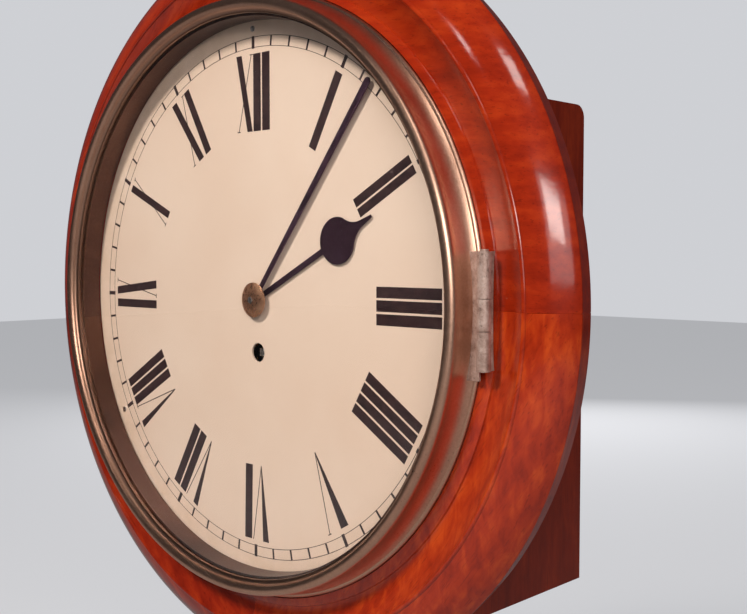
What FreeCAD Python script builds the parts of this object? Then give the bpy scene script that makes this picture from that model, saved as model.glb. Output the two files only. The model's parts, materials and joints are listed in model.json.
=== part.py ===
# Schoolhouse wall clock: 12 inch dial in a turned mahogany surround, brass bezel hinged at the
# right, pegged to a wooden back box that holds an eight-day going-barrel pendulum movement.
#
# Frame: millimetres. Origin on the back face of the box, on the axis of the dial and surround.
# +X is the viewer's right, +Z is up, and the front of the clock faces -Y.
# "out" is a distance in front of the dial's face; negative values lie behind the dial.

import math
import os

import FreeCAD
import Part

Vector = FreeCAD.Vector

# ---- driving dimensions ----------------------------------------------------------------
DIAL_Y = -120.0                 # the dial's front face
DIAL_RADIUS = 155.3
DIAL_THICKNESS = 1.2
DIAL_CENTRE_HOLE = 6.0
WINDING_HOLE = 5.25
WINDING_DROP = 29.3             # winding arbor below the hand arbor
DIAL_SCREW_CIRCLE = 148.4

SURROUND_INNER = 92.0           # inside the box, clear of the movement
SURROUND_RADIUS = 206.0
SURROUND_BACK = -18.0           # out
BEZEL_RECESS = 165.4            # wall of the recess that the bezel drops into
BEZEL_RADIUS = 165.0
GLASS_RADIUS = 153.7
SIGHT_RADIUS = 151.2
BEZEL_X = -3.4                  # the bezel's axis, measured from the dial's
BEZEL_Z = 1.0

CASE_HALF_WIDTH = 135.0
CASE_TOP = 106.0
CASE_BOTTOM = -155.0
BOARD = 12.0
BACKBOARD = 8.0
CASE_CORNER = 7.0

HINGE_X = 165.3                 # bezel hinge pin
HINGE_OUT = 8.3
HINGE_TOP = 26.7
HINGE_HALF = 26.7
KNUCKLE_RADIUS = 3.2
HINGE_PIN_RADIUS = 1.2

MINUTE_ANGLE = 38.0             # hands, clockwise from twelve, about six minutes past two
HOUR_ANGLE = 60.0 + MINUTE_ANGLE / 12.0

PLATE = 3.0
FRONT_PLATE = -20.0             # out, its front face
BACK_PLATE = -71.0              # out, its front face
PLATE_HALF_WIDTH = 50.0
PLATE_TOP = 76.0
PLATE_BOTTOM = -60.0

MOVEMENT_X = 2.8                # the arbors stand this far right of the painted centre
RUNNING = 0.05                  # radial clearance of a running fit
PENDULUM_OUT = -88.0

# Wheels and pinions as (teeth, module). The train runs barrel, intermediate, centre, third, escape.
GREAT_WHEEL = (84, 0.6)
INTERMEDIATE_PINION = (14, 0.6)
INTERMEDIATE_WHEEL = (70, 0.67)
CENTRE_PINION = (10, 0.67)
CENTRE_WHEEL = (96, 0.5)
THIRD_PINION = (8, 0.5)
THIRD_WHEEL = (88, 0.45)
ESCAPE_PINION = (8, 0.45)
CANNON_WHEEL = (28, 0.6)
MINUTE_WHEEL = (42, 0.6)
MINUTE_PINION = (8, 21.0 / 36.0)
HOUR_WHEEL = (64, 21.0 / 36.0)
ESCAPE_TEETH = 34
ESCAPE_TIP = 16.5


def mesh_distance(wheel, pinion):
    """Distance between two arbors whose gears mesh."""
    return (wheel[0] + pinion[0]) * wheel[1] / 2.0


def at_angle(centre, distance, degrees):
    """A place that far from an arbor, counter-clockwise from +X as the viewer sees it."""
    angle = math.radians(degrees)
    return (centre[0] + distance * math.cos(angle), centre[1] + distance * math.sin(angle))


# Arbors as (x, z).
CENTRE = (0.0, 0.0)
BARREL = (0.0, -WINDING_DROP)
THIRD = at_angle(CENTRE, mesh_distance(CENTRE_WHEEL, THIRD_PINION), 60.0)
MINUTE_POST = at_angle(CENTRE, mesh_distance(MINUTE_WHEEL, CANNON_WHEEL), 135.0)

# The escape arbor stands straight above the centre, within reach of the third wheel.
ESCAPE_REACH = mesh_distance(THIRD_WHEEL, ESCAPE_PINION)
ESCAPE = (0.0, THIRD[1] + math.sqrt(ESCAPE_REACH ** 2 - THIRD[0] ** 2))

# The intermediate arbor is to the left, where its reaches to the barrel and the centre meet.
BARREL_REACH = mesh_distance(GREAT_WHEEL, INTERMEDIATE_PINION)
CENTRE_REACH = mesh_distance(INTERMEDIATE_WHEEL, CENTRE_PINION)
INTERMEDIATE_Z = (BARREL_REACH ** 2 - CENTRE_REACH ** 2 - WINDING_DROP ** 2) / (2.0 * WINDING_DROP)
INTERMEDIATE = (-math.sqrt(CENTRE_REACH ** 2 - INTERMEDIATE_Z ** 2), INTERMEDIATE_Z)

# Pallets that span a quarter of the escape wheel hang from root two times its tip radius above it.
BEATING_AXIS = ESCAPE[1] + ESCAPE_TIP * math.sqrt(2.0)
PALLET = (0.0, BEATING_AXIS)


# ---- small helpers ---------------------------------------------------------------------
def depth(out):
    """The Y coordinate of a point that far in front of the dial's face."""
    return DIAL_Y - out


def box(x0, x1, y0, y1, z0, z1):
    return Part.makeBox(x1 - x0, y1 - y0, z1 - z0, Vector(x0, y0, z0))


def block(x0, x1, out_back, out_front, z0, z1):
    """A box whose depth is given by two distances in front of the dial."""
    return box(x0, x1, depth(out_front), depth(out_back), z0, z1)


def rod(radius, out_back, out_front, centre=CENTRE):
    """A cylinder along the arbor direction."""
    base = Vector(centre[0], depth(out_front), centre[1])
    return Part.makeCylinder(radius, out_front - out_back, base, Vector(0, 1, 0))


def upright(radius, z0, z1, x, out):
    return Part.makeCylinder(radius, z1 - z0, Vector(x, depth(out), z0), Vector(0, 0, 1))


def across(radius, x0, x1, y, z):
    return Part.makeCylinder(radius, x1 - x0, Vector(x0, y, z), Vector(1, 0, 0))


def fused(shapes):
    result = shapes[0].fuse(shapes[1:]) if len(shapes) > 1 else shapes[0]
    return result.removeSplitter()


def cut_all(shape, tools):
    return shape.cut(Part.makeCompound(tools))


def group(shapes):
    return Part.makeCompound(shapes)


def mirrored_x(shape):
    return shape.mirror(Vector(0, 0, 0), Vector(1, 0, 0))


def line(start, end):
    return Part.LineSegment(Vector(*start), Vector(*end)).toShape()


def arc(start, middle, end):
    return Part.Arc(Vector(*start), Vector(*middle), Vector(*end)).toShape()


def path(points, to_space):
    """Edges through a list of 2-D points; a point tagged "via" is the middle of an arc."""
    edges = []
    index = 0
    while index < len(points) - 1:
        start = to_space(points[index])
        if points[index + 1][0] == "via":
            middle = to_space(points[index + 1][1:])
            end = to_space(points[index + 2])
            edges.append(arc(start, middle, end))
            index += 2
        else:
            edges.append(line(start, to_space(points[index + 1])))
            index += 1
    return edges


def turned(points):
    """A solid of revolution about the hand arbor from a closed outline of (radius, out)."""
    edges = path(points + [points[0]], lambda p: (p[0], depth(p[1]), 0))
    face = Part.Face(Part.Wire(edges))
    return face.revolve(Vector(0, 0, 0), Vector(0, 1, 0), 360)


def plate_from(points, out_back, out_front):
    """A flat piece from a closed outline of (x, z)."""
    edges = path(points + [points[0]], lambda p: (p[0], depth(out_front), p[1]))
    face = Part.Face(Part.Wire(edges))
    return face.extrude(Vector(0, out_front - out_back, 0))


def turn_clockwise(shape, degrees, centre=CENTRE):
    """Turns a shape about an arbor, clockwise as the viewer sees it."""
    turned_shape = shape.copy()
    turned_shape.rotate(Vector(centre[0], 0, centre[1]), Vector(0, 1, 0), degrees)
    return turned_shape


def direction(start, end):
    """Angle of the line between two arbors, counter-clockwise from +X as the viewer sees it."""
    return math.atan2(end[1] - start[1], end[0] - start[0])


def toothed(gear, centre, phase, out_back, out_front, tip=1.0, root=1.25, width=0.40):
    """A toothed disc. phase is the direction of one tooth; width is tooth share of the pitch."""
    teeth, module = gear
    pitch_radius = teeth * module / 2.0
    half = width * math.pi / teeth
    outline = []
    for tooth in range(teeth):
        middle = phase + 2.0 * math.pi * tooth / teeth
        for radius, share in (
            (pitch_radius - root * module, -1.0),
            (pitch_radius, -1.0),
            (pitch_radius + tip * module, -0.3),
            (pitch_radius + tip * module, 0.3),
            (pitch_radius, 1.0),
            (pitch_radius - root * module, 1.0),
        ):
            angle = middle + share * half
            outline.append((centre[0] + radius * math.cos(angle), centre[1] + radius * math.sin(angle)))
    return plate_from(outline, out_back, out_front)


def meshed_phase(gear, centre, driver_centre):
    """Puts a gap of this gear on the line to its driver, where the driver has a tooth."""
    return direction(centre, driver_centre) + math.pi / gear[0]


def crossed(disc, centre, inner, outer, spokes, out_back, out_front, spoke_width=3.2):
    """Cuts the openings between a wheel's spokes."""
    ring = rod(outer, out_back, out_front, centre).cut(rod(inner, out_back, out_front, centre))
    arms = []
    for spoke in range(spokes):
        arm = block(0, outer + 1, out_back, out_front, -spoke_width / 2, spoke_width / 2)
        arm.rotate(Vector(0, 0, 0), Vector(0, 1, 0), 360.0 * spoke / spokes + 90)
        arm.translate(Vector(centre[0], 0, centre[1]))
        arms.append(arm)
    return disc.cut(cut_all(ring, arms))


def screw(centre, out_head, length, head=2.0, shank=1.0, head_height=0.6, facing=1):
    """A wood or machine screw whose head stands in front of out_head, or behind it if facing is -1."""
    if facing == 1:
        parts = [
            rod(head, out_head, out_head + head_height, centre),
            rod(shank, out_head - length, out_head, centre),
        ]
    else:
        parts = [
            rod(head, out_head - head_height, out_head, centre),
            rod(shank, out_head, out_head + length, centre),
        ]
    slot = block(centre[0] - head, centre[0] + head, -500, 500, centre[1] - 0.25, centre[1] + 0.25)
    top = out_head + facing * head_height
    depth_of_slot = block(centre[0] - head, centre[0] + head, top - 0.3, top + 0.3, -500, 500)
    return fused(parts).cut(slot.common(depth_of_slot))


# ---- wooden surround -------------------------------------------------------------------
def surround_section():
    return [
        (SURROUND_INNER, SURROUND_BACK),
        (SURROUND_INNER, -DIAL_THICKNESS),
        (155.6, -DIAL_THICKNESS),
        (155.6, 1.0),
        ("via", 163.0, 3.0),
        (168.0, 1.8),
        (168.5, 0.9),
        (169.4, 0.9),
        ("via", 177.0, 2.7),
        (183.6, 6.0),
        ("via", 185.0, 7.0),
        (186.4, 6.0),
        (187.0, 5.9),
        ("via", 197.2, 1.7),
        (SURROUND_RADIUS, -7.0),
        ("via", 205.9, -8.2),
        (205.2, -9.0),
        (203.6, SURROUND_BACK),
    ]


LEAF_THICKNESS = 1.2
LEAF_INNER = HINGE_X - LEAF_THICKNESS / 2
LEAF_OUTER = HINGE_X + LEAF_THICKNESS / 2
LEAF_ROOM = 0.2
CATCH_POCKET = (-161.9, -157.3)
CATCH_POCKET_DEPTH = -14.0
CATCH_HALF_HEIGHT = 7.0


def on_bezel_axis(shape):
    """Moves a shape drawn about the dial's axis to the bezel's."""
    return shape.translated(Vector(BEZEL_X, 0, BEZEL_Z))


def make_surround():
    ring = turned(surround_section())
    recess = on_bezel_axis(rod(BEZEL_RECESS, 0.0, 5.0))
    slot_low, slot_high = LEAF_INNER - LEAF_ROOM, LEAF_OUTER + LEAF_ROOM
    leaf_slot = block(slot_low, slot_high, SURROUND_BACK - 1, 20, -HINGE_HALF - 0.1, HINGE_TOP + 0.1)
    pocket_low, pocket_high = CATCH_POCKET
    pocket = block(pocket_low, pocket_high, CATCH_POCKET_DEPTH, 5, -CATCH_HALF_HEIGHT, CATCH_HALF_HEIGHT)
    pocket = on_bezel_axis(pocket)
    screw_back, screw_end = SURROUND_BACK - 1, SURROUND_BACK + 9
    foot_screws = [rod(1.0, screw_back, screw_end, centre) for centre in hinge_screw_places()]
    dial_screws = [rod(1.0, -9.0, 0, centre) for centre in dial_screw_places()]
    ring = cut_all(ring, [recess, leaf_slot, pocket] + foot_screws + dial_screws)
    far = SURROUND_RADIUS + 10
    quarters = {
        "surround_upper_right": (0, far, 0, far),
        "surround_upper_left": (-far, 0, 0, far),
        "surround_lower_left": (-far, 0, -far, 0),
        "surround_lower_right": (0, far, -far, 0),
    }
    pieces = {}
    for name, (x0, x1, z0, z1) in quarters.items():
        pieces[name] = ring.common(block(x0, x1, -60, 60, z0, z1))
    return pieces


# ---- back box --------------------------------------------------------------------------
BLOCK_X = (103.0, 123.0)
BLOCK_ROWS = ((74.0, 94.0), (-140.0, -120.0))
BLOCK_BACK = -46.0
PEG_OUT = -32.0
DOOR_PIVOT_Y = -14.5
DOOR_PIVOT_Z = -150.0
DOOR_FRONT = -84.7
DOOR_HALF_WIDTH = 122.6
DOOR_THICKNESS = 10.0
HANGING_HEIGHT = 80.0
HANGING_HOLE = 4.0
STEADY_PLACE = (-50.0, -128.0)
STEADY_HOLE = 2.5


def peg(side, height):
    """A tapered peg driven from outside through the box side into its block."""
    start = Vector(side * (CASE_HALF_WIDTH + 0.4), depth(PEG_OUT), height)
    return Part.makeCone(4.2, 3.4, 28.0, start, Vector(-side, 0, 0))


def make_pegs():
    heights = [(low + high) / 2 for low, high in BLOCK_ROWS]
    return group([peg(side, height) for side in (-1, 1) for height in heights])


def make_blocks():
    blocks = []
    for low, high in BLOCK_ROWS:
        right = block(BLOCK_X[0], BLOCK_X[1], BLOCK_BACK, SURROUND_BACK, low, high)
        blocks += [right, mirrored_x(right)]
    return group([piece.cut(make_pegs()) for piece in blocks])


def rounded_back_top(shape):
    """Rounds the edge where the box's top meets the wall."""
    edges = [
        edge
        for edge in shape.Edges
        if abs(edge.CenterOfMass.y) < 1e-6 and abs(edge.CenterOfMass.z - CASE_TOP) < 1e-6
    ]
    return shape.makeFillet(CASE_CORNER, edges)


def make_case():
    front = depth(SURROUND_BACK)
    inner = CASE_HALF_WIDTH - BOARD
    right = rounded_back_top(box(inner, CASE_HALF_WIDTH, front, 0, CASE_BOTTOM, CASE_TOP))
    right = cut_all(right, [make_pegs()] + door_pins())
    top = rounded_back_top(box(-inner, inner, front, 0, CASE_TOP - BOARD, CASE_TOP))
    bottom = box(-inner, inner, front, DOOR_FRONT - 0.3, CASE_BOTTOM, CASE_BOTTOM + BOARD)
    back = box(-inner, inner, -BACKBOARD, 0, CASE_BOTTOM, CASE_TOP - BOARD)
    plate_recess = box(-26, 26, -HANGING_PLATE, 0, HANGING_HEIGHT - 13, HANGING_HEIGHT + 13)
    wide_hole = Part.makeCylinder(9.0, 20, Vector(0, -15, HANGING_HEIGHT), Vector(0, 1, 0))
    steady_start = Vector(STEADY_PLACE[0], -15, STEADY_PLACE[1])
    steady = Part.makeCylinder(STEADY_HOLE, 20, steady_start, Vector(0, 1, 0))
    screws = hanging_plate_screws()
    return {
        "case_side_right": right,
        "case_side_left": mirrored_x(right),
        "case_top": top,
        "case_bottom": bottom,
        "backboard": cut_all(back, [plate_recess, wide_hole, steady] + screws),
    }


def door_pins():
    """Two steel pins, from the box sides into the ends of the bottom door."""
    right = across(1.5, DOOR_HALF_WIDTH - 14, CASE_HALF_WIDTH - 3, DOOR_PIVOT_Y, DOOR_PIVOT_Z)
    return [right, mirrored_x(right)]


def make_bottom_door():
    half = DOOR_THICKNESS / 2
    bottom, top = DOOR_PIVOT_Z - half, DOOR_PIVOT_Z + half
    slab = box(-DOOR_HALF_WIDTH, DOOR_HALF_WIDTH, DOOR_FRONT, DOOR_PIVOT_Y, bottom, top)
    rounded_edge = across(half, -DOOR_HALF_WIDTH, DOOR_HALF_WIDTH, DOOR_PIVOT_Y, DOOR_PIVOT_Z)
    bores = across(1.5 + RUNNING, DOOR_HALF_WIDTH - 15, DOOR_HALF_WIDTH, DOOR_PIVOT_Y, DOOR_PIVOT_Z)
    knob_hole = Part.makeCylinder(1.5, 6, Vector(0, DOOR_FRONT + 14, DOOR_PIVOT_Z - half))
    return cut_all(fused([slab, rounded_edge]), [bores, mirrored_x(bores), knob_hole])


def make_door_knob():
    """A small turned brass knob with a spigot glued into the door."""
    centre = DOOR_FRONT + 14
    top = DOOR_PIVOT_Z - DOOR_THICKNESS / 2
    outline = [(0, 6), (1.5, 6), (1.5, 0), (4.0, 0), (4.0, -1.0), (2.2, -2.4), (2.2, -4.0),
               (4.4, -6.0), ("via", 5.0, -7.6), (3.6, -9.2), (0, -10.0)]
    edges = path(outline + [outline[0]], lambda p: (p[0], centre, top + p[1]))
    face = Part.Face(Part.Wire(edges))
    return face.revolve(Vector(0, centre, 0), Vector(0, 0, 1), 360)


# ---- hanging plate and wood screws -------------------------------------------------------
HANGING_PLATE = 2.0


def hanging_plate_screws():
    """Countersunk screws flush with the box's back face."""
    screws = []
    for x in (-19.0, 19.0):
        head = Part.makeCone(2.6, 1.4, 1.4, Vector(x, 0, HANGING_HEIGHT), Vector(0, -1, 0))
        shank = Part.makeCylinder(1.4, 4.6, Vector(x, -1.4, HANGING_HEIGHT), Vector(0, -1, 0))
        screws.append(fused([head, shank]))
    return screws


def make_hanging_plate():
    plate = box(-26, 26, -HANGING_PLATE, 0, HANGING_HEIGHT - 13, HANGING_HEIGHT + 13)
    hole = Part.makeCylinder(HANGING_HOLE, 10, Vector(0, -5, HANGING_HEIGHT), Vector(0, 1, 0))
    return cut_all(plate, [hole] + hanging_plate_screws())


def hinge_screw_places():
    return [(178.5, -18.0), (178.5, 18.0)]


def make_wood_screws():
    foot_back = SURROUND_BACK - 1.2
    hinge = [screw(centre, foot_back, 9.0, head=2.4, facing=-1) for centre in hinge_screw_places()]
    return group(hanging_plate_screws() + hinge)


# ---- dial ------------------------------------------------------------------------------
def dial_screw_places():
    places = []
    for clock_angle in (0.0, 120.0, 240.0):
        angle = math.radians(clock_angle)
        places.append((DIAL_SCREW_CIRCLE * math.sin(angle), DIAL_SCREW_CIRCLE * math.cos(angle)))
    return places


FOOT_PLACES = ((36.0, 60.0), (-36.0, 60.0), (36.0, -44.0), (-36.0, -44.0))


def make_dial():
    disc = rod(DIAL_RADIUS, -DIAL_THICKNESS, 0)
    holes = [
        rod(DIAL_CENTRE_HOLE, -5, 5, (MOVEMENT_X, 0.0)),
        rod(WINDING_HOLE, -5, 5, (MOVEMENT_X, -WINDING_DROP)),
    ]
    holes += [rod(1.0, -5, 5, centre) for centre in dial_screw_places()]
    return cut_all(disc, holes)


def make_dial_screws():
    return group([screw(centre, 0, 9.0, head=1.6) for centre in dial_screw_places()])


def make_dial_feet():
    """Brass feet riveted to the dial's back, with tenons through the front plate."""
    feet = []
    for centre in FOOT_PLACES:
        post = rod(2.8, FRONT_PLATE, -DIAL_THICKNESS, centre)
        tenon = rod(1.6, FRONT_PLATE - PLATE - 3, FRONT_PLATE, centre)
        feet.append(fused([post, tenon]))
    return group(feet)


# ---- bezel, glass and hinge ----------------------------------------------------------------
def make_bezel():
    """Spun brass ring: outer bead, cove, rounded rim and a lip that the glass seats against."""
    outside = [
        (154.0, 0.4),
        (155.6, 0.4),
        (155.6, 14.6),
        (158.0, 14.6),
        (158.4, 9.4),
        (161.0, 3.4),
        (161.4, 0.4),
        (163.6, 0.4),
        ("via", BEZEL_RADIUS, 2.2),
        (163.2, 4.4),
        ("via", 160.5, 9.0),
        (160.3, 16.0),
        ("via", 157.6, 20.8),
        (154.6, 18.6),
        ("via", 154.2, 17.4),
        (152.6, 16.4),
        (152.4, 15.3),
        (154.0, 15.3),
    ]
    return turned(outside)


def make_glass():
    return turned([(0, 13.1), (GLASS_RADIUS, 13.1), (GLASS_RADIUS, 15.2), (0, 15.2)])


def make_sight_ring():
    """Thin brass ring behind the glass that frames the dial."""
    return turned([
        (SIGHT_RADIUS, 1.2), (152.6, 1.2), (152.9, 11.6), (153.8, 11.6),
        (153.8, 13.0), (151.4, 13.0), (SIGHT_RADIUS + 0.2, 11.6),
    ])


def knuckle(z0, z1):
    return upright(KNUCKLE_RADIUS, z0, z1, HINGE_X, HINGE_OUT)


KNUCKLE_GAP = 0.15
MIDDLE_KNUCKLE = (-8.8, 5.7)
STRIP_BACK = 5.8
STRIP_FRONT = 7.0
STRIP_OUTER = 161.8
STRIP_LOW = -31.5


def make_hinge():
    """Butt hinge: one leaf soldered to the bezel, one let through the surround and screwed behind it."""
    low, high = MIDDLE_KNUCKLE
    bezel_body = turned([
        (0, 0.4), (163.6, 0.4), ("via", BEZEL_RADIUS, 2.2), (163.2, 4.4),
        ("via", 160.5, 9.0), (160.3, 16.0), (0, 16.0),
    ])
    bezel_body = on_bezel_axis(bezel_body)
    strip = block(154.0, STRIP_OUTER, STRIP_BACK, STRIP_FRONT, STRIP_LOW, HINGE_TOP)
    strip = strip.cut(bezel_body)
    web = block(STRIP_OUTER - 1, HINGE_X, STRIP_BACK, STRIP_FRONT, low + KNUCKLE_GAP, high - KNUCKLE_GAP)
    middle = knuckle(low + KNUCKLE_GAP, high - KNUCKLE_GAP)
    bore = upright(HINGE_PIN_RADIUS + RUNNING, -60, 60, HINGE_X, HINGE_OUT)
    bezel_leaf = fused([strip, web, middle]).cut(bore)

    foot_back = SURROUND_BACK - LEAF_THICKNESS
    tang = block(LEAF_INNER, LEAF_OUTER, foot_back, HINGE_OUT, -HINGE_HALF, HINGE_TOP)
    space_low, space_high = low - KNUCKLE_GAP, high + KNUCKLE_GAP
    middle_space = upright(KNUCKLE_RADIUS + 0.3, space_low, space_high, HINGE_X, HINGE_OUT)
    middle_window = block(HINGE_X - 8, HINGE_X + 8, HINGE_OUT - 3.6, 30, space_low, space_high)
    foot = block(LEAF_INNER, 186.0, foot_back, SURROUND_BACK, -HINGE_HALF, HINGE_TOP)
    upper = knuckle(high + KNUCKLE_GAP, HINGE_TOP)
    lower = knuckle(-HINGE_HALF, low - KNUCKLE_GAP)
    pin_hole = upright(HINGE_PIN_RADIUS, -60, 60, HINGE_X, HINGE_OUT)
    screw_holes = [rod(1.0, -60, 0, centre) for centre in hinge_screw_places()]
    tang = cut_all(tang, [middle_space, middle_window])
    fixed_leaf = cut_all(fused([tang, foot, upper, lower]), [pin_hole] + screw_holes)

    pin = fused([
        upright(HINGE_PIN_RADIUS, -HINGE_HALF - 0.4, HINGE_TOP, HINGE_X, HINGE_OUT),
        upright(2.0, HINGE_TOP, HINGE_TOP + 1.0, HINGE_X, HINGE_OUT),
    ])
    return {"hinge_bezel_leaf": bezel_leaf, "hinge_fixed_leaf": fixed_leaf, "hinge_pin": pin}


def make_catch():
    """A tongue soldered inside the bezel pushes into a springy brass clip sunk in the surround."""
    tongue_plate = block(-160.0, -158.8, -12.0, 5.0, -5.0, 5.0)
    solder_foot = block(-158.8, -150.0, 1.0, 5.0, -5.0, 5.0)
    tongue = fused([tongue_plate, solder_foot.cut(rod(155.6, -50, 50))])
    clip = block(-161.8, -157.4, -14.0, -0.4, -6.8, 6.8)
    throat = block(-161.0, -158.2, -13.2, 5, -8, 8)
    return {"bezel_tongue": on_bezel_axis(tongue), "catch_clip": on_bezel_axis(clip.cut(throat))}


# ---- movement frame ----------------------------------------------------------------------
PILLAR_PLACES = ((43.0, 68.0), (-43.0, 68.0), (43.0, -52.0), (-43.0, -52.0))
CLICK_PIVOT = (-14.5, -44.0)
FRONT_PIVOTS = (
    (CENTRE, 2.2), (BARREL, 3.0), (INTERMEDIATE, 1.2), (THIRD, 1.0), (ESCAPE, 0.8), (PALLET, 1.0),
)
BACK_PIVOTS = ((CENTRE, 1.5), (BARREL, 2.5), (INTERMEDIATE, 1.2), (THIRD, 1.0), (ESCAPE, 0.8))


def plate_outline():
    w = PLATE_HALF_WIDTH
    c = 6.0
    return [
        (-w + c, PLATE_BOTTOM), (w - c, PLATE_BOTTOM), (w, PLATE_BOTTOM + c), (w, PLATE_TOP - c),
        (w - c, PLATE_TOP), (-w + c, PLATE_TOP), (-w, PLATE_TOP - c), (-w, PLATE_BOTTOM + c),
    ]


def make_front_plate():
    plate = plate_from(plate_outline(), FRONT_PLATE - PLATE, FRONT_PLATE)
    holes = [rod(radius + RUNNING, -60, 0, centre) for centre, radius in FRONT_PIVOTS]
    holes += [rod(1.5, -60, 0, centre) for centre in PILLAR_PLACES]
    holes += [rod(1.6, -60, 0, centre) for centre in FOOT_PLACES]
    posts = [rod(1.5, FRONT_PLATE - 1, -8.6, MINUTE_POST), rod(1.5, FRONT_PLATE - 1, -16.0, CLICK_PIVOT)]
    return fused([cut_all(plate, holes)] + posts)


def make_back_plate():
    plate = plate_from(plate_outline(), BACK_PLATE - PLATE, BACK_PLATE)
    holes = [rod(radius + RUNNING, -90, -50, centre) for centre, radius in BACK_PIVOTS]
    holes += [rod(5.0, -90, -50, PALLET)]
    holes += [rod(1.5, -90, -50, centre) for centre in PILLAR_PLACES + COCK_SCREWS]
    return cut_all(plate, holes)


def make_pillars():
    pillars = []
    for centre in PILLAR_PLACES:
        front = FRONT_PLATE - PLATE
        shaft = rod(3.2, BACK_PLATE, front, centre)
        collars = [rod(4.6, BACK_PLATE, BACK_PLATE + 4, centre), rod(4.6, front - 4, front, centre)]
        bores = [rod(1.5, BACK_PLATE, BACK_PLATE + 7, centre), rod(1.5, front - 7, front, centre)]
        pillars.append(cut_all(fused([shaft] + collars), bores))
    return group(pillars)


def make_plate_screws():
    back = BACK_PLATE - PLATE
    screws = [screw(c, FRONT_PLATE, PLATE + 7, 3.4, 1.5, 1.6) for c in PILLAR_PLACES]
    screws += [screw(c, back, PLATE + 7, 3.4, 1.5, 1.6, -1) for c in PILLAR_PLACES]
    screws += [screw(c, back - COCK_FOOT, COCK_FOOT + 3, 2.8, 1.5, 1.6, -1) for c in COCK_SCREWS]
    return group(screws)


# ---- going train ---------------------------------------------------------------------------
def make_barrel():
    """Great wheel and drum in one, a snap-in cap, the mainspring, its arbor and the ratchet."""
    phase = direction(BARREL, INTERMEDIATE)
    wheel = toothed(GREAT_WHEEL, BARREL, phase, -68.5, -66.0)
    drum = rod(23.0, -66.0, -46.0, BARREL).cut(rod(21.5, -66.0, -46.0, BARREL))
    arbor_hole = rod(4.0 + RUNNING, -90, -30, BARREL)
    cap = rod(21.5, -47.6, -46.0, BARREL)
    arbor = fused([
        rod(2.5, -74.5, -69.5, BARREL),
        rod(4.0, -69.5, -44.5, BARREL),
        rod(6.0, -65.7, -47.9, BARREL),
        rod(3.0, -44.5, -14.0, BARREL),
        winding_square(),
    ])
    return {
        "barrel": cut_all(fused([wheel, drum]), [arbor_hole]),
        "barrel_cap": cap.cut(arbor_hole),
        "mainspring": make_mainspring(),
        "barrel_arbor": arbor,
    }


def winding_square():
    square = block(-2.1, 2.1, -14.0, -3.0, -2.1, 2.1)
    square.translate(Vector(BARREL[0], 0, BARREL[1]))
    return square


def make_mainspring():
    """Coiled strip drawn as nested rings joined by short steps, so that it stays one closed strip."""
    turns = 7
    pitch = 1.9
    first = 7.0
    strip = 0.9
    points_per_turn = 24
    centre_line = []
    for step in range(turns * points_per_turn + 1):
        angle = 2.0 * math.pi * step / points_per_turn
        radius = first + pitch * step / points_per_turn
        centre_line.append((radius, angle))
    outer = [(r + strip / 2, a) for r, a in centre_line]
    inner = [(r - strip / 2, a) for r, a in reversed(centre_line)]
    outline = outer + inner
    flat = [(BARREL[0] + r * math.cos(a), BARREL[1] + r * math.sin(a)) for r, a in outline]
    return plate_from(flat, -65.0, -48.6)


RATCHET_TEETH = 24
RATCHET_TIP = 12.0


def make_ratchet():
    outline = []
    for tooth in range(RATCHET_TEETH):
        start = 2.0 * math.pi * tooth / RATCHET_TEETH
        for radius, share in ((RATCHET_TIP, 0.0), (RATCHET_TIP, 0.12), (RATCHET_TIP - 1.4, 0.94)):
            angle = start + share * 2.0 * math.pi / RATCHET_TEETH
            outline.append((BARREL[0] + radius * math.cos(angle), BARREL[1] + radius * math.sin(angle)))
    wheel = plate_from(outline, -19.4, -17.4)
    return wheel.cut(rod(3.0, -30, 0, BARREL))


def make_click():
    hub = rod(3.6, -19.6, -17.2, CLICK_PIVOT)
    outline = [(-3.5, 0.0), (-2.7, 11.0), (1.7, 14.8), (2.0, 13.0), (1.3, 8.0), (3.5, 1.0)]
    arm = plate_from(shifted(outline, CLICK_PIVOT), -19.6, -17.2)
    return fused([hub, arm]).cut(rod(1.5 + RUNNING, -30, 0, CLICK_PIVOT))


def make_click_spring():
    """A bent strip whose foot is riveted to the front plate."""
    foot = block(-25.0, -19.8, -20.0, -18.2, -52.0, -47.0)
    bent = [
        (-20.6, -47.2), (-19.8, -47.2), (-19.6, -38.0),
        (-18.6, -32.0), (-19.3, -31.8), (-20.4, -38.0),
    ]
    strip = plate_from(bent, -19.4, -17.6)
    return fused([foot, strip])


def wheel_on_arbor(gear, centre, phase, out_back, out_front, bore):
    """A crossed-out wheel bored to sit on its arbor's collet."""
    teeth, module = gear
    disc = toothed(gear, centre, phase, out_back, out_front)
    rim = teeth * module / 2.0 - 3.0
    disc = crossed(disc, centre, bore + 3.0, rim, 5, out_back, out_front, spoke_width=2.2)
    return disc.cut(rod(bore, out_back, out_front, centre))


def make_intermediate():
    meshed = meshed_phase(INTERMEDIATE_PINION, INTERMEDIATE, BARREL)
    pinion = toothed(INTERMEDIATE_PINION, INTERMEDIATE, meshed, -70.0, -64.5, tip=0.8)
    arbor = fused([
        rod(1.2, -74.3, -20.4, INTERMEDIATE), rod(1.9, -70.4, -23.6, INTERMEDIATE), pinion,
        rod(3.4, -44.0, -39.0, INTERMEDIATE).cut(rod(3.4, -42.0, -40.0, INTERMEDIATE)),
        rod(2.6, -42.0, -40.0, INTERMEDIATE),
    ])
    leading = direction(INTERMEDIATE, CENTRE)
    wheel = wheel_on_arbor(INTERMEDIATE_WHEEL, INTERMEDIATE, leading, -42.0, -40.0, 2.6)
    return {"intermediate_arbor": arbor, "intermediate_wheel": wheel}


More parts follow.
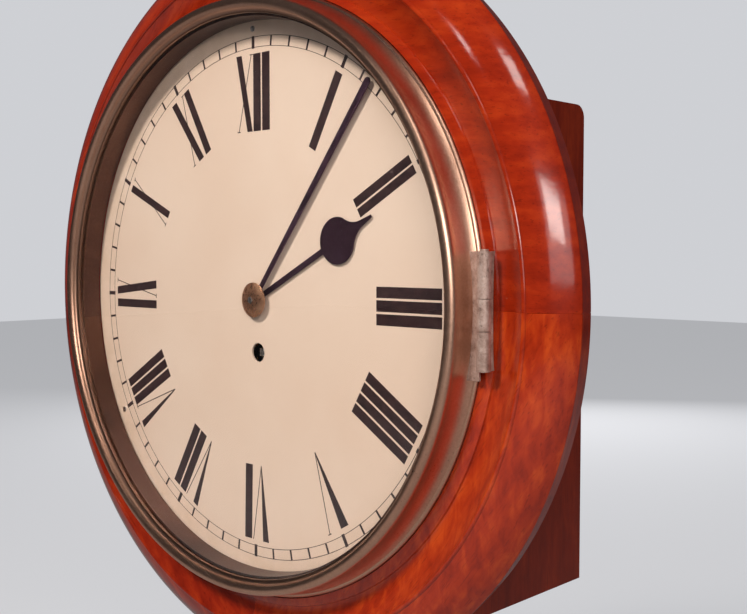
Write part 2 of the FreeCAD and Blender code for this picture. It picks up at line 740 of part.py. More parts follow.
def make_centre():
    meshed = meshed_phase(CENTRE_PINION, CENTRE, INTERMEDIATE)
    pinion = toothed(CENTRE_PINION, CENTRE, meshed, -43.8, -38.2, tip=0.8)
    arbor = fused([
        rod(1.5, -74.3, -70.6), rod(2.2, -70.6, FRONT_PLATE + 0.3), pinion,
        rod(3.0, -36.0, -34.0), rod(3.8, -34.0, -33.0), rod(1.9, FRONT_PLATE, 5.8),
    ])
    wheel = wheel_on_arbor(CENTRE_WHEEL, CENTRE, direction(CENTRE, THIRD), -36.0, -34.0, 3.0)
    return {"centre_arbor": arbor, "centre_wheel": wheel}


def make_third():
    meshed = meshed_phase(THIRD_PINION, THIRD, CENTRE)
    pinion = toothed(THIRD_PINION, THIRD, meshed, -37.8, -32.2, tip=0.8)
    arbor = fused([
        rod(1.0, -74.0, -20.6, THIRD), rod(1.5, -70.6, -23.4, THIRD), pinion,
        rod(2.4, -56.0, -54.4, THIRD), rod(3.2, -57.0, -56.0, THIRD),
    ])
    wheel = wheel_on_arbor(THIRD_WHEEL, THIRD, direction(THIRD, ESCAPE), -56.0, -54.4, 2.4)
    return {"third_arbor": arbor, "third_wheel": wheel}


def make_escape():
    meshed = meshed_phase(ESCAPE_PINION, ESCAPE, THIRD)
    pinion = toothed(ESCAPE_PINION, ESCAPE, meshed, -58.2, -52.2, tip=0.8)
    arbor = fused([
        rod(0.8, -73.8, -20.8, ESCAPE), rod(1.3, -70.6, -23.4, ESCAPE), pinion,
        rod(2.2, -62.0, -60.6, ESCAPE), rod(3.0, -60.6, -59.8, ESCAPE),
    ])
    outline = []
    for tooth in range(ESCAPE_TEETH):
        start = 2.0 * math.pi * (tooth + 0.5) / ESCAPE_TEETH
        for radius, share in ((13.0, 0.0), (ESCAPE_TIP, 0.30), (ESCAPE_TIP, 0.38), (13.2, 0.72)):
            angle = start + share * 2.0 * math.pi / ESCAPE_TEETH
            outline.append((ESCAPE[0] + radius * math.cos(angle), ESCAPE[1] + radius * math.sin(angle)))
    disc = plate_from(outline, -62.0, -60.6)
    disc = crossed(disc, ESCAPE, 5.0, 11.0, 5, -62.0, -60.6, spoke_width=1.8)
    return {"escape_arbor": arbor, "escape_wheel": disc.cut(rod(2.2, -62.0, -60.6, ESCAPE))}


# ---- motion work and hands -------------------------------------------------------------------
def make_motion_work():
    cannon_wheel = toothed(CANNON_WHEEL, CENTRE, direction(CENTRE, MINUTE_POST), -15.6, -14.0)
    cannon = fused([cannon_wheel, rod(3.5, -19.6, 3.0)]).cut(rod(1.9, -30, 10))

    minute_phase = meshed_phase(MINUTE_WHEEL, MINUTE_POST, CENTRE)
    minute_wheel = toothed(MINUTE_WHEEL, MINUTE_POST, minute_phase, -15.6, -14.0)
    pinion_phase = direction(MINUTE_POST, CENTRE)
    minute_pinion = toothed(MINUTE_PINION, MINUTE_POST, pinion_phase, -14.0, -9.0, tip=0.8)
    minute = fused([minute_wheel, minute_pinion]).cut(rod(1.5 + RUNNING, -30, 0, MINUTE_POST))

    hour_wheel = toothed(HOUR_WHEEL, CENTRE, meshed_phase(HOUR_WHEEL, CENTRE, MINUTE_POST), -11.8, -10.2)
    hour = fused([hour_wheel, rod(4.9, -11.8, 1.6)]).cut(rod(3.5 + RUNNING, -30, 10))
    return {"cannon_pinion": cannon, "minute_wheel": minute, "hour_wheel": hour}


def shifted(outline, place):
    """Moves an outline given about an arbor to that arbor's place."""
    return [(x + place[0], z + place[1]) for x, z in outline]


def mirrored_outline(right_half):
    """Closes a right-hand outline, listed from the bottom up, with its mirror image."""
    left = []
    for point in reversed(right_half):
        if point[0] == "via":
            left.append(("via", -point[1], point[2]))
        else:
            left.append((-point[0], point[1]))
    return right_half + left


def make_hour_hand():
    """Spade hand: plain stem, round body drawn out to a fine point."""
    half = mirrored_outline([
        (1.6, 4.0), (1.6, 58.9), ("via", 12.2, 71.0), (8.6, 79.8),
        ("via", 3.7, 84.6), (1.6, 91.0), (0.7, 98.0),
    ])
    hand = fused([plate_from(half, 0.8, 1.6), rod(7.2, 0.8, 1.6)])
    return turn_clockwise(hand.cut(rod(4.9, -5, 10)), HOUR_ANGLE)


def make_minute_hand():
    """Plain tapered baton."""
    outline = [(1.5, 3.0), (2.0, 139.2), ("via", 0.0, 141.8), (-2.0, 139.2), (-1.5, 3.0)]
    hand = fused([plate_from(outline, 2.2, 3.0), rod(7.2, 2.2, 3.0)])
    return turn_clockwise(hand.cut(rod(3.5, -5, 10)), MINUTE_ANGLE)


def make_hand_collet():
    return turned([(1.9, 3.0), (9.6, 3.0), (9.6, 3.6), ("via", 6.4, 5.0), (1.9, 5.5)])


# ---- escapement and pendulum -----------------------------------------------------------------
COCK_FOOT = 3.0
COCK_SCREWS = ((15.0, 64.0), (-15.0, 64.0))
CRUTCH_LENGTH = 42.0


def make_anchor():
    half = mirrored_outline([
        (0.01, -3.6), (4.2, -2.5), (11.3, -6.9), (12.6, -10.8),
        (15.3, -9.9), (14.5, -6.1), (5.0, 3.4), (0.01, 4.5),
    ])
    arms = plate_from(shifted(half, PALLET), -63.2, -59.4)
    body = fused([arms, rod(4.4, -63.2, -59.4, PALLET)])
    arbor = fused([rod(1.0, -84.0, -20.6, PALLET), rod(1.6, -80.8, -23.4, PALLET)])
    collet = rod(3.2, -79.8, -77.8, PALLET)
    stem = block(-1.0, 1.0, -79.6, -78.0, BEATING_AXIS - CRUTCH_LENGTH, BEATING_AXIS)
    fork_top = BEATING_AXIS - CRUTCH_LENGTH
    fork = block(-4.0, 4.0, PENDULUM_OUT - 3.5, -78.0, fork_top - 3, fork_top)
    mouth = block(-1.7, 1.7, PENDULUM_OUT - 10, PENDULUM_OUT + 1.8, 0, 60)
    crutch = fused([collet, stem, fork]).cut(Part.makeCompound([mouth, rod(1.6, -90, -70, PALLET)]))
    return {"anchor": body.cut(rod(1.6, -90, -20, PALLET)), "pallet_arbor": arbor, "crutch": crutch}


def make_suspension():
    foot_front = BACK_PLATE - PLATE
    bridge = block(-19, 19, -84.0, foot_front, 57.0, 71.0)
    channel = block(-10, 10, -81.0, foot_front, 40.0, 80.0)
    corner = block(11.5, 30, -84.0, foot_front - COCK_FOOT, 40, 80)
    lug = block(-4.0, 4.0, PENDULUM_OUT - 4, -84.0, BEATING_AXIS + 0.6, 71.0)
    slit = block(-0.15, 0.15, PENDULUM_OUT - 6, -84.0, 50.0, 80.0)
    arbor_hole = rod(1.0 + RUNNING, -90, -60, PALLET)
    screws = [rod(1.5, -90, -60, centre) for centre in COCK_SCREWS]
    corners = [corner, mirrored_x(corner)]
    cock = cut_all(fused([bridge, lug]), [channel, slit, arbor_hole] + corners + screws)
    spring = block(-0.15, 0.15, PENDULUM_OUT - 3, PENDULUM_OUT + 3, 49.0, 70.0)
    return {"suspension_cock": cock, "suspension_spring": spring}


BOB_HEIGHT = -100.0
BOB_RADIUS = 22.0


def make_pendulum():
    top_block = block(-4.0, 4.0, PENDULUM_OUT - 3.6, PENDULUM_OUT + 3.6, 44.0, 56.0)
    slot = block(-0.95, 0.95, PENDULUM_OUT - 5, PENDULUM_OUT + 5, 48.0, 60.0)
    stem = upright(1.5, -132.0, 44.0, 0, PENDULUM_OUT)
    edge = 1.2
    belly = 6.5
    bulge = 0.62
    outline = [
        (0, -belly), ("via", BOB_RADIUS * bulge, -belly * bulge), (BOB_RADIUS, -edge),
        (BOB_RADIUS, edge), ("via", BOB_RADIUS * bulge, belly * bulge), (0, belly),
    ]
    edges = path(outline + [outline[0]], lambda p: (p[0], depth(PENDULUM_OUT) + p[1], BOB_HEIGHT))
    lens = Part.Face(Part.Wire(edges)).revolve(Vector(0, 0, BOB_HEIGHT), Vector(0, 1, 0), 360)
    nut = upright(5.0, -126.8, -122.3, 0, PENDULUM_OUT)
    bore = upright(1.5, -200, 100, 0, PENDULUM_OUT)
    nut_bore = upright(1.5 + RUNNING, -200, 100, 0, PENDULUM_OUT)
    return {
        "pendulum_rod": fused([top_block.cut(slot), stem]),
        "pendulum_bob": lens.cut(bore),
        "rating_nut": nut.cut(nut_bore),
    }


# ---- the whole clock -------------------------------------------------------------------------
def make_movement():
    """Everything that hangs on the movement plates, drawn about the hand arbor."""
    pieces = {
        "dial_feet": make_dial_feet(),
        "front_plate": make_front_plate(),
        "back_plate": make_back_plate(),
        "plate_pillars": make_pillars(),
        "plate_screws": make_plate_screws(),
        "ratchet_wheel": make_ratchet(),
        "click": make_click(),
        "click_spring": make_click_spring(),
        "hour_hand": make_hour_hand(),
        "minute_hand": make_minute_hand(),
        "hand_collet": make_hand_collet(),
    }
    pieces.update(make_barrel())
    pieces.update(make_intermediate())
    pieces.update(make_centre())
    pieces.update(make_third())
    pieces.update(make_escape())
    pieces.update(make_motion_work())
    pieces.update(make_anchor())
    pieces.update(make_suspension())
    pieces.update(make_pendulum())
    return pieces


def make_clock():
    pieces = {
        "surround_blocks": make_blocks(),
        "case_pegs": make_pegs(),
        "bottom_door": make_bottom_door(),
        "bottom_door_knob": make_door_knob(),
        "bottom_door_pins": group(door_pins()),
        "hanging_plate": make_hanging_plate(),
        "wood_screws": make_wood_screws(),
        "dial": make_dial(),
        "dial_screws": make_dial_screws(),
        "bezel_ring": on_bezel_axis(make_bezel()),
        "glass": on_bezel_axis(make_glass()),
        "sight_ring": on_bezel_axis(make_sight_ring()),
    }
    pieces.update(make_surround())
    pieces.update(make_case())
    pieces.update(make_hinge())
    pieces.update(make_catch())
    for name, shape in make_movement().items():
        pieces[name] = shape.translated(Vector(MOVEMENT_X, 0, 0))
    return pieces


os.makedirs("parts", exist_ok=True)
for name, shape in make_clock().items():
    print(name, "solids", len(shape.Solids), "valid", shape.isValid(), "mm3", round(shape.Volume))
    shape.exportStep("parts/" + name + ".step")
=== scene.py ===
"""A schoolhouse wall clock: the looks of its wood, brass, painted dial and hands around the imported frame.

Lengths written as mm are turned into metres by MM. Round parts are drawn as (radius, out), where "out" is the
distance in front of the dial's face, and placed on the axis of the dial, of the bezel or of the hands.
"""

import json
import math

import bmesh
import bpy
from mathutils import Matrix, Vector


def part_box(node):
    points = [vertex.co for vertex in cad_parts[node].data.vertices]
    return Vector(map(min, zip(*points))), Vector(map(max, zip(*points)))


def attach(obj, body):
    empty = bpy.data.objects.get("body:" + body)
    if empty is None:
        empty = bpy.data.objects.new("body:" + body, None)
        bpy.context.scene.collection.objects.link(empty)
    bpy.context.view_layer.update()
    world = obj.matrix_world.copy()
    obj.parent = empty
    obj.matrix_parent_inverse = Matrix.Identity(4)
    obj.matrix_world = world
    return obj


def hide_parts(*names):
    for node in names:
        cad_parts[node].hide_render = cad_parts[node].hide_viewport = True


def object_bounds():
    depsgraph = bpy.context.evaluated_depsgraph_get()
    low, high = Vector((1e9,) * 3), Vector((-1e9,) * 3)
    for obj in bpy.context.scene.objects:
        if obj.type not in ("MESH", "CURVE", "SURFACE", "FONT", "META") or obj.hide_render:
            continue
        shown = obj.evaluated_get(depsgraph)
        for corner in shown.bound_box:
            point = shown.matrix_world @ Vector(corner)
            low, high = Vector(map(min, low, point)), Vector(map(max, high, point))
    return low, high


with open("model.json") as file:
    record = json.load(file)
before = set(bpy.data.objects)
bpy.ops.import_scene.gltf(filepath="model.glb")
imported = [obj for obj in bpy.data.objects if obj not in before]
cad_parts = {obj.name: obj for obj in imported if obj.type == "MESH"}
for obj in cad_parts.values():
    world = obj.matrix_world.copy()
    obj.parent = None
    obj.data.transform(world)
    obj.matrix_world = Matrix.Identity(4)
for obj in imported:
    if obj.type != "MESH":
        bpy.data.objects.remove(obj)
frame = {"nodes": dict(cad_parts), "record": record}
CAD_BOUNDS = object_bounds()

MM = 0.001
FULL_TURN = 360.0
BEZEL_STEPS = 360               # facets round the bezel and its seat

DIAL_LOW, DIAL_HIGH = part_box("dial")
FACE = DIAL_LOW.y
DIAL_AXIS = (DIAL_LOW + DIAL_HIGH) / 2.0
BEZEL_LOW, BEZEL_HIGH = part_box("bezel_ring")
BEZEL_AXIS = (BEZEL_LOW + BEZEL_HIGH) / 2.0
HANDS_LOW, HANDS_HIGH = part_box("hand_collet")
HANDS_AXIS = (HANDS_LOW + HANDS_HIGH) / 2.0
WINDING_LOW, WINDING_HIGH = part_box("barrel_arbor")
WINDING_AXIS = (WINDING_LOW + WINDING_HIGH) / 2.0


# ---- places and outlines ---------------------------------------------------------------------
def at(x, out, z, axis=DIAL_AXIS):
    """A point given in mm from an axis of the clock."""
    return Vector((axis.x + x * MM, FACE - out * MM, axis.z + z * MM))


def arc(start, middle, end, steps=10):
    """Points after start along the circle through three points."""
    (ax, ay), (bx, by), (cx, cy) = start, middle, end
    d = 2.0 * (ax * (by - cy) + bx * (cy - ay) + cx * (ay - by))
    a2, b2, c2 = ax * ax + ay * ay, bx * bx + by * by, cx * cx + cy * cy
    ux = (a2 * (by - cy) + b2 * (cy - ay) + c2 * (ay - by)) / d
    uy = (a2 * (cx - bx) + b2 * (ax - cx) + c2 * (bx - ax)) / d
    first = math.atan2(ay - uy, ax - ux)
    mid = (math.atan2(by - uy, bx - ux) - first) % math.tau
    sweep = (math.atan2(cy - uy, cx - ux) - first) % math.tau
    if mid > sweep:
        sweep -= math.tau
    radius = math.hypot(ax - ux, ay - uy)
    angles = [first + sweep * k / steps for k in range(1, steps + 1)]
    return [(ux + radius * math.cos(t), uy + radius * math.sin(t)) for t in angles]


def outline(*points, steps=10):
    """Plain points, with ("via", x, y) as the middle of an arc between its neighbours."""
    made = []
    middle = None
    for point in points:
        if point[0] == "via":
            middle = point[1:]
        elif middle is not None:
            made.extend(arc(made[-1], middle, point, steps))
            middle = None
        else:
            made.append(point)
    return made


def inset(loop, amount):
    """A closed outline moved inwards by the amount along its corner bisectors."""
    area = sum(a[0] * b[1] - b[0] * a[1] for a, b in zip(loop, loop[1:] + loop[:1]))
    side = 1.0 if area > 0 else -1.0
    moved = []
    for k, point in enumerate(loop):
        before, after = Vector(loop[k - 1]), Vector(loop[(k + 1) % len(loop)])
        here = Vector(point)
        into = (here - before).normalized()
        away = (after - here).normalized()
        normal = Vector((-into.y - away.y, into.x + away.x)).normalized() * side
        share = max(0.5, math.cos(into.angle(away) / 2.0))
        moved.append(tuple(here + normal * (amount / share)))
    return moved


def circle(radius, count, x=0.0, z=0.0):
    turns = [math.tau * k / count for k in range(count)]
    return [(x + radius * math.cos(t), z + radius * math.sin(t)) for t in turns]


# ---- meshes ----------------------------------------------------------------------------------
SHARP_ANGLE = math.radians(32.0)
PIECES = []


def finished(name, mesh, material, body, replaces=()):
    """A mesh as a piece of the clock, smooth but for its sharp edges."""
    mesh.name = name
    piece = bpy.data.objects.new(name, mesh)
    bpy.context.scene.collection.objects.link(piece)
    mesh.materials.clear()
    mesh.materials.append(material)
    smoothed(mesh)
    PIECES.append(piece)
    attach(piece, body)
    if replaces:
        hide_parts(*replaces)
    return piece


def flattened(piece):
    """Keeps the piece's broad faces flat up to their rounded edges."""
    normals = piece.modifiers.new("normals", "WEIGHTED_NORMAL")
    normals.keep_sharp = True
    return evaluated(piece)


def mesh_of(bm):
    bmesh.ops.recalc_face_normals(bm, faces=bm.faces)
    mesh = bpy.data.meshes.new("mesh")
    bm.to_mesh(mesh)
    bm.free()
    return mesh


def lathe(sections, angles, axis=DIAL_AXIS, closed=True):
    """Sections of (radius, out), one for each angle, joined into a turned body."""
    bm = bmesh.new()
    rings = []
    for section, degrees in zip(sections, angles):
        turn = math.radians(degrees)
        points = [at(r * math.cos(turn), out, r * math.sin(turn), axis) for r, out in section]
        rings.append([bm.verts.new(p) for p in points])
    pairs = list(zip(rings, rings[1:]))
    if closed:
        pairs.append((rings[-1], rings[0]))
    count = len(rings[0])
    for ring, following in pairs:
        for k in range(count):
            n = (k + 1) % count
            bm.faces.new((ring[k], ring[n], following[n], following[k]))
    if not closed:
        bm.faces.new(rings[0])
        bm.faces.new(rings[-1])
    bmesh.ops.remove_doubles(bm, verts=bm.verts, dist=1e-7)
    return mesh_of(bm)


def full_lathe(section, axis=DIAL_AXIS, count=256):
    return lathe([section] * count, [FULL_TURN * k / count for k in range(count)], axis)


def plate(loops, out_back, out_front, bevel, turn=0.0, axis=DIAL_AXIS, bevel_steps=3):
    """A flat plate turned clockwise, from closed (x, z) loops: first its edge, then its holes."""
    curve = bpy.data.curves.new("plate", "CURVE")
    curve.dimensions = "2D"
    curve.fill_mode = "BOTH"
    for loop in loops:
        spline = curve.splines.new("POLY")
        spline.points.add(len(loop) - 1)
        for point, (x, z) in zip(spline.points, loop):
            point.co = (x * MM, z * MM, 0.0, 1.0)
        spline.use_cyclic_u = True
    curve.bevel_depth = bevel * MM
    curve.bevel_resolution = bevel_steps
    curve.offset = -bevel * MM
    curve.extrude = ((out_front - out_back) / 2.0 - bevel) * MM
    holder = bpy.data.objects.new("plate", curve)
    mesh = bpy.data.meshes.new_from_object(holder)
    bpy.data.objects.remove(holder)
    bpy.data.curves.remove(curve)
    middle = at(0.0, (out_front + out_back) / 2.0, 0.0, axis)
    upright = Matrix.Rotation(math.radians(90.0), 4, "X")
    clockwise = Matrix.Rotation(math.radians(turn), 4, "Y")
    mesh.transform(Matrix.Translation(middle) @ clockwise @ upright)
    bm = bmesh.new()
    bm.from_mesh(mesh)
    bpy.data.meshes.remove(mesh)
    bmesh.ops.remove_doubles(bm, verts=bm.verts, dist=1e-7)
    return mesh_of(bm)


def prisms(shapes, out_back, out_front, axis=DIAL_AXIS):
    """One mesh of several flat raised shapes, each a convex (x, z) loop."""
    bm = bmesh.new()
    for shape in shapes:
        back = [bm.verts.new(at(x, out_back, z, axis)) for x, z in shape]
        front = [bm.verts.new(at(x, out_front, z, axis)) for x, z in shape]
        bm.faces.new(back)
        bm.faces.new(front)
        for k in range(len(shape)):
            n = (k + 1) % len(shape)
            bm.faces.new((back[k], back[n], front[n], front[k]))
    return mesh_of(bm)


def copied(node):
    """A CAD node's mesh, welded and with its flat faces whole again."""
    bm = bmesh.new()
    bm.from_mesh(frame["nodes"][node].data)
    bmesh.ops.remove_doubles(bm, verts=bm.verts, dist=2e-6)
    bmesh.ops.dissolve_limit(bm, angle_limit=math.radians(0.6), verts=bm.verts, edges=bm.edges)
    return mesh_of(bm)


def evaluated(piece):
    """The piece with its modifiers made part of its mesh."""
    depsgraph = bpy.context.evaluated_depsgraph_get()
    mesh = bpy.data.meshes.new_from_object(piece.evaluated_get(depsgraph))
    piece.modifiers.clear()
    old = piece.data
    name = old.name
    piece.data = mesh
    bpy.data.meshes.remove(old)
    mesh.name = name
    return piece


def smoothed(mesh):
    """Shades a mesh smooth but for its sharp edges."""
    mesh.polygons.foreach_set("use_smooth", [True] * len(mesh.polygons))
    mesh.set_sharp_from_angle(angle=SHARP_ANGLE)


def rounded(piece, width, segments=3, angle=40.0):
    """Rounds the piece's sharp edges to a width in mm."""
    bevel = piece.modifiers.new("edges", "BEVEL")
    bevel.width = width * MM
    bevel.segments = segments
    bevel.limit_method = "ANGLE"
    bevel.angle_limit = math.radians(angle)
    evaluated(piece)
    smoothed(piece.data)
    return piece


def softened(node, material, body, slot, width, segments):
    """A CAD node shown with rounded edges."""
    piece = finished("look_" + node, copied(node), material, body, [node])
    return rounded(piece, width, segments)


def box_mesh(low, high):
    """A box given by two opposite corners."""
    bm = bmesh.new()
    bmesh.ops.create_cube(bm, size=1.0)
    size = high - low
    scale = Matrix.Diagonal((abs(size.x), abs(size.y), abs(size.z), 1.0))
    bmesh.ops.transform(bm, matrix=Matrix.Translation((low + high) / 2.0) @ scale, verts=bm.verts)
    return mesh_of(bm)


def cut(piece, cutter_mesh):
    """Cuts a closed mesh out of a piece."""
    cutter = bpy.data.objects.new("cutter", cutter_mesh)
    bpy.context.scene.collection.objects.link(cutter)
    boolean = piece.modifiers.new("cut", "BOOLEAN")
    boolean.operation = "DIFFERENCE"
    boolean.solver = "EXACT"
    boolean.object = cutter
    evaluated(piece)
    smoothed(piece.data)
    bpy.data.objects.remove(cutter)
    return piece


# ---- material nodes --------------------------------------------------------------------------
def add(tree, kind, inputs=None, **settings):
    """A shader node with its sockets set or linked."""
    made = tree.nodes.new(kind)
    for key, value in settings.items():
        setattr(made, key, value)
    for socket, value in (inputs or {}).items():
        if isinstance(value, bpy.types.NodeSocket):
            tree.links.new(value, made.inputs[socket])
        else:
            made.inputs[socket].default_value = value
    return made


def new_material(name):
    material = bpy.data.materials.new(name)
    material.use_nodes = True
    tree = material.node_tree
    tree.nodes.clear()
    return material, tree


def ramp(tree, factor, stops):
    """A colour ramp from (position, value) stops; a value is a grey or a linear colour."""
    made = add(tree, "ShaderNodeValToRGB", {"Fac": factor})
    points = made.color_ramp.elements
    while len(points) < len(stops):
        points.new(0.5)
    for point, (position, value) in zip(points, stops):
        point.position = position
        grey = isinstance(value, float)
        point.color = (value, value, value, 1.0) if grey else (*value, 1.0)
    return made.outputs["Color"]


def noise(tree, vector, scale, detail=4.0, roughness=0.5, distortion=0.0):
    inputs = {"Vector": vector, "Scale": scale, "Detail": detail, "Roughness": roughness}
    return add(tree, "ShaderNodeTexNoise", {**inputs, "Distortion": distortion}).outputs["Fac"]


def mixed(tree, factor, first, second, blend="MIX"):
    made = add(tree, "ShaderNodeMix", data_type="RGBA", blend_type=blend)
    for socket, value in ((made.inputs[0], factor), (made.inputs[6], first), (made.inputs[7], second)):
        if isinstance(value, bpy.types.NodeSocket):
            tree.links.new(value, socket)
        else:
            socket.default_value = value if isinstance(value, float) else (*value, 1.0)
    return made.outputs[2]


def place_of(tree):
    return add(tree, "ShaderNodeTexCoord").outputs["Object"]


def stretched(tree, vector, turn, scale, offset=(0.0, 0.0, 0.0)):
    """Coordinates turned about the depth axis by degrees, then stretched."""
    rotation = (0.0, math.radians(turn), 0.0)
    turned = add(tree, "ShaderNodeMapping", {"Vector": vector, "Rotation": rotation, "Location": offset})
    return add(tree, "ShaderNodeMapping", {"Vector": turned.outputs[0], "Scale": scale}).outputs[0]


def bump(tree, height, strength, distance, normal=None):
    inputs = {"Height": height, "Strength": strength, "Distance": distance}
    if normal is not None:
        inputs["Normal"] = normal
    return add(tree, "ShaderNodeBump", inputs).outputs["Normal"]


def principled(tree, inputs):
    shader = add(tree, "ShaderNodeBsdfPrincipled", inputs)
    add(tree, "ShaderNodeOutputMaterial", {"Surface": shader.outputs[0]})
    return shader


# ---- materials -------------------------------------------------------------------------------
def wood(name, tones, turn, offset, mottle=0.35, gloss=1.0, coat_roughness=0.12, fleck_turn=None):
    """Polished wood of dark, middle and light tones, its grain along X turned clockwise by degrees.

    Flecks lie along the grain unless they have a turn of their own.
    """
    material, tree = new_material(name)
    place = place_of(tree)
    dark, middle, light = tones
    figure = noise(tree, stretched(tree, place, turn, (4.0, 26.0, 26.0), offset), 1.5, 5.0, 0.55, 0.9)
    streaks = noise(tree, stretched(tree, place, turn, (12.0, 380.0, 380.0), offset), 1.0, 4.0, 0.6, 0.2)
    bands = add(tree, "ShaderNodeTexWave", {
        "Vector": stretched(tree, place, turn, (1.2, 9.0, 9.0), offset), "Scale": 3.0, "Distortion": 7.0,
        "Detail": 3.0, "Detail Scale": 1.4}, bands_direction="Z").outputs["Fac"]
    fleck_turn = turn if fleck_turn is None else fleck_turn
    fleck_place = stretched(tree, place, fleck_turn, (55.0, 170.0, 170.0), offset)
    flecks = noise(tree, fleck_place, 1.0, 3.0, 0.6, 0.5)
    pores = noise(tree, stretched(tree, place, turn, (75.0, 1500.0, 1500.0), offset), 1.0, 2.0, 0.5)
    broad = ramp(tree, figure, [(0.28, 0.0), (0.72, 1.0)])
    fine = ramp(tree, streaks, [(0.25, 0.0), (0.75, 1.0)])
    tone = mixed(tree, 0.16, mixed(tree, 0.42, broad, fine), bands)
    tone = mixed(tree, mottle, tone, ramp(tree, flecks, [(0.32, 0.0), (0.68, 1.0)]))
    colour = ramp(tree, tone, [(0.1, dark), (0.5, middle), (0.9, light)])
    pore_mask = ramp(tree, pores, [(0.60, 0.0), (0.72, 0.45)])
    colour = mixed(tree, pore_mask, colour, tuple(0.4 * c for c in dark))
    rough = ramp(tree, streaks, [(0.2, 0.34), (0.8, 0.5)])
    surface = bump(tree, streaks, 0.10, 0.0002)
    wave = bump(tree, noise(tree, place, 60.0, 3.0), 0.30, 0.0006)
    principled(tree, {
        "Base Color": colour, "Roughness": rough, "Normal": surface, "Coat Weight": gloss,
        "Coat Roughness": coat_roughness, "Coat Normal": wave, "Specular IOR Level": 0.06})
    return material


def radius_from(tree, place, axis):
    """The distance of a place from a turning axis."""
    offset = add(tree, "ShaderNodeVectorMath", {0: place, 1: (axis.x, 0.0, axis.z)}, operation="SUBTRACT")
    across = {0: offset.outputs[0], 1: (1.0, 0.0, 1.0)}
    flat = add(tree, "ShaderNodeVectorMath", across, operation="MULTIPLY").outputs[0]
    return add(tree, "ShaderNodeVectorMath", {0: flat}, operation="LENGTH").outputs["Value"]


def metal(
    name, tones, roughness, spin_axis=None, blotch=18.0, spin_depth=0.00002, spots=0.0, tarnish_and_shade=None,
    metallic=1.0,
):
    """Metal with toning in patches and fine lines: round an axis where it was turned, else along X.

    Tarnish and shade, for turned metal, is the radii in mm between which the darkening fades out, and its
    strength; it is partly tarnish, partly painted shade.
    """
    material, tree = new_material(name)
    place = place_of(tree)
    patches = noise(tree, place, blotch, 5.0, 0.6, 0.5)
    fine = noise(tree, place, 900.0, 3.0, 0.6)
    if spin_axis is None:
        lines = noise(tree, stretched(tree, place, 0.0, (60.0, 2600.0, 2600.0)), 1.0, 3.0, 0.6)
    else:
        radius = radius_from(tree, place, spin_axis)
        lines_at = add(tree, "ShaderNodeCombineXYZ", {"X": radius}).outputs[0]
        lines = noise(tree, lines_at, 2600.0, 3.0, 0.6)
    tone = mixed(tree, 0.3, patches, fine)
    count = len(tones) - 1
    colour = ramp(tree, tone, [(0.3 + 0.4 * k / count, c) for k, c in enumerate(tones)])
    # Painted shade with tarnish: turned metal darkens inside a radius.
    if tarnish_and_shade:
        dull_radius, clear_radius, strength = tarnish_and_shade
        dull = ramp(tree, radius, [(dull_radius * MM, strength), (clear_radius * MM, 0.0)])
        colour = mixed(tree, dull, colour, tuple(0.3 * c for c in tones[0]))
    if spots:
        marks = ramp(tree, noise(tree, place, 420.0, 4.0, 0.7), [(0.58, 0.0), (0.68, spots)])
        colour = mixed(tree, marks, colour, tuple(0.25 * c for c in tones[0]))
    rough_fine = mixed(tree, 0.5, fine, patches)
    rough = ramp(tree, rough_fine, [(0.3, roughness * 0.75), (0.7, roughness * 1.35)])
    surface = bump(tree, lines, 0.35, spin_depth)
    principled(tree, {"Base Color": colour, "Metallic": metallic, "Roughness": rough, "Normal": surface})
    return material


def dial_paint():
    """Cream paint, a little yellowed and foxed, browner near the rim: partly grime, partly painted shade
    where the bezel shades the dial's edge.
    """
    material, tree = new_material("dial_paint")
    place = place_of(tree)
    clouds = noise(tree, place, 9.0, 5.0, 0.55, 0.4)
    grime = noise(tree, place, 70.0, 6.0, 0.7)
    specks = noise(tree, place, 520.0, 3.0, 0.6)
    middle = (DIAL_AXIS.x, FACE, DIAL_AXIS.z)
    radius = add(tree, "ShaderNodeVectorMath", {0: place, 1: middle}, operation="DISTANCE").outputs["Value"]
    colour = ramp(tree, clouds, [(0.3, (0.76, 0.555, 0.44)), (0.7, (0.82, 0.628, 0.515))])
    # Painted shade mixed with grime: the paint turns browner towards the rim, under the bezel.
    rim = ramp(tree, radius, [(0.132, 0.0), (0.1545, 0.55)])
    rim_grime_and_shade = mixed(tree, rim, (0.0, 0.0, 0.0), ramp(tree, grime, [(0.35, 0.1), (0.7, 1.0)]))
    colour = mixed(tree, rim_grime_and_shade, colour, (0.56, 0.38, 0.24))
    foxing = ramp(tree, specks, [(0.70, 0.0), (0.78, 0.35)])
    colour = mixed(tree, foxing, colour, (0.50, 0.33, 0.20))
    rough = ramp(tree, grime, [(0.3, 0.36), (0.7, 0.5)])
    ripple = bump(tree, noise(tree, place, 40.0, 3.0), 0.12, 0.0005)
    orange_peel = bump(tree, noise(tree, place, 1400.0, 2.0), 0.06, 0.00004, ripple)
    principled(tree, {
        "Base Color": colour, "Roughness": rough, "Normal": orange_peel,
        "Coat Weight": 0.25, "Coat Roughness": 0.22})
    return material


def ink():
    """Brown-black ink, thin in places, with a faint purple bronze where it catches the light."""
    material, tree = new_material("dial_ink")
    place = place_of(tree)
    cover = noise(tree, place, 240.0, 5.0, 0.65)
    wear = noise(tree, place, 1500.0, 3.0, 0.6)
    colour = ramp(tree, cover, [(0.3, (0.012, 0.005, 0.006)), (0.75, (0.042, 0.018, 0.018))])
    colour = mixed(tree, ramp(tree, wear, [(0.68, 0.0), (0.8, 0.4)]), colour, (0.25, 0.16, 0.11))
    rough = ramp(tree, cover, [(0.3, 0.34), (0.7, 0.5)])
    surface = bump(tree, wear, 0.1, 0.00003)
    principled(tree, {
        "Base Color": colour, "Roughness": rough, "Normal": surface, "Specular IOR Level": 0.35,
        "Sheen Weight": 0.06, "Sheen Roughness": 0.4, "Sheen Tint": (0.45, 0.32, 0.55, 1.0)})
    return material


